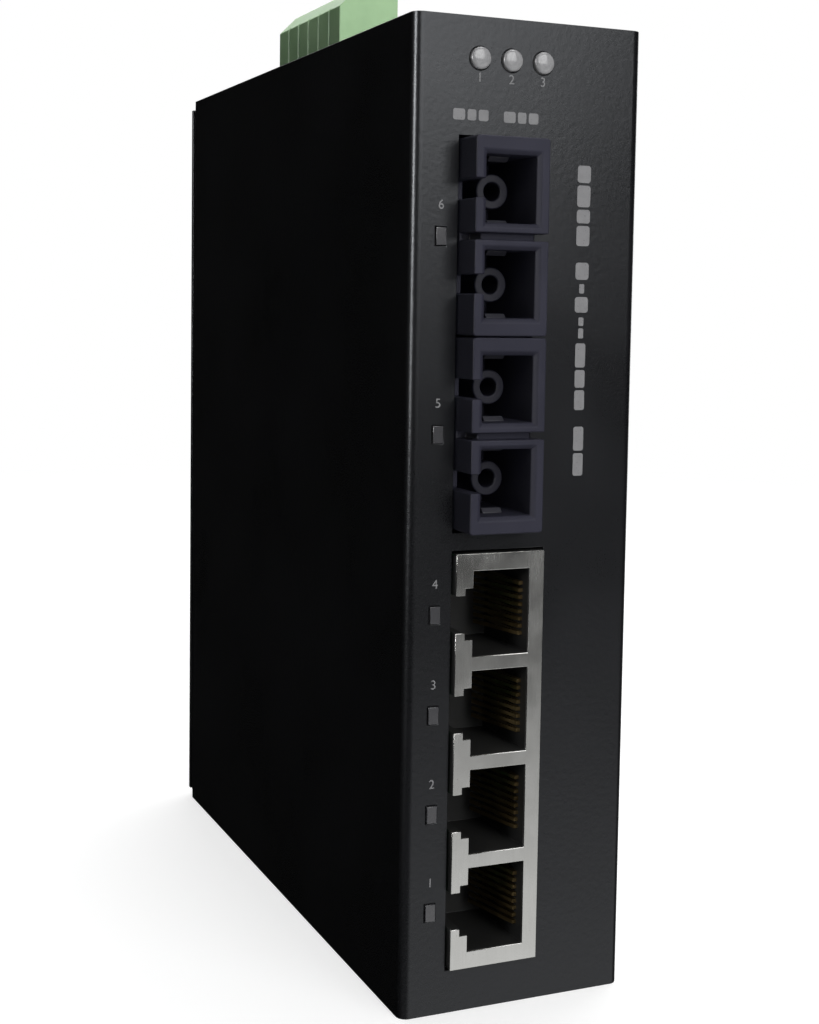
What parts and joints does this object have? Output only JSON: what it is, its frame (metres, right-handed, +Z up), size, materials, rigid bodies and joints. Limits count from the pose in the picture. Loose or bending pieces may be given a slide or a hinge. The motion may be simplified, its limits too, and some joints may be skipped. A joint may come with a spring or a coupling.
{
  "type": "industrial ethernet switch",
  "caption": "Slim rail-mounted industrial ethernet switch in a black folded steel case, with copper and duplex fibre ports on its front and a green power terminal on top.",
  "frame": {"origin": "on the base, under the middle of the part's box", "axes": "+Z up, the ports face -Y, +X to the right seen from the front"},
  "size_m": [0.035, 0.1204, 0.1502],
  "materials": {
    "case_paint": "satin powder coat",
    "print_ink": "screen print",
    "zinc_steel": "zinc plated",
    "board_laminate": "solder mask",
    "module_plastic": "moulded, fine grain",
    "latch_plastic": "moulded",
    "barrel_plastic": "moulded",
    "shield_tin": "tin plated",
    "jack_plastic": "moulded",
    "contact_gold": "gold plated",
    "terminal_green": "moulded",
    "pin_tin": "tin plated",
    "light_lens": "clear diffused",
    "chip_black": "moulded epoxy",
    "can_aluminium": "drawn",
    "ferrite_grey": "pressed",
    "relay_plastic": "moulded",
    "fuse_plastic": "moulded",
    "bracket_aluminium": "extruded, plain"
  },
  "bodies": {
    "root": {"front_shell": "case_paint", "rear_chassis": "case_paint", "chassis_screws": "zinc_steel", "earth_screw": "zinc_steel", "earth_washer": "zinc_steel", "main_board": "board_laminate", "board_standoffs": "zinc_steel", "board_screws": "zinc_steel", "fibre_module_upper": "module_plastic", "fibre_module_lower": "module_plastic", "fibre_latches": "latch_plastic", "fibre_barrels": "barrel_plastic", "fibre_pins": "pin_tin", "jack_shield": "shield_tin", "jack_housing": "jack_plastic", "jack_contacts": "contact_gold", "power_header": "terminal_green", "header_pins": "pin_tin", "power_plug": "terminal_green", "plug_clamps": "pin_tin", "plug_screws": "zinc_steel", "status_light_holder": "chip_black", "status_lights": "light_lens", "port_lights": "light_lens", "switch_chip": "chip_black", "clock_crystal": "pin_tin", "line_transformers": "chip_black", "bulk_capacitors": "can_aluminium", "power_inductor": "ferrite_grey", "input_fuse": "fuse_plastic", "alarm_relay": "relay_plastic", "rail_bracket": "bracket_aluminium", "rail_spring": "zinc_steel", "rail_screws": "zinc_steel"}
  },
  "joints": []
}
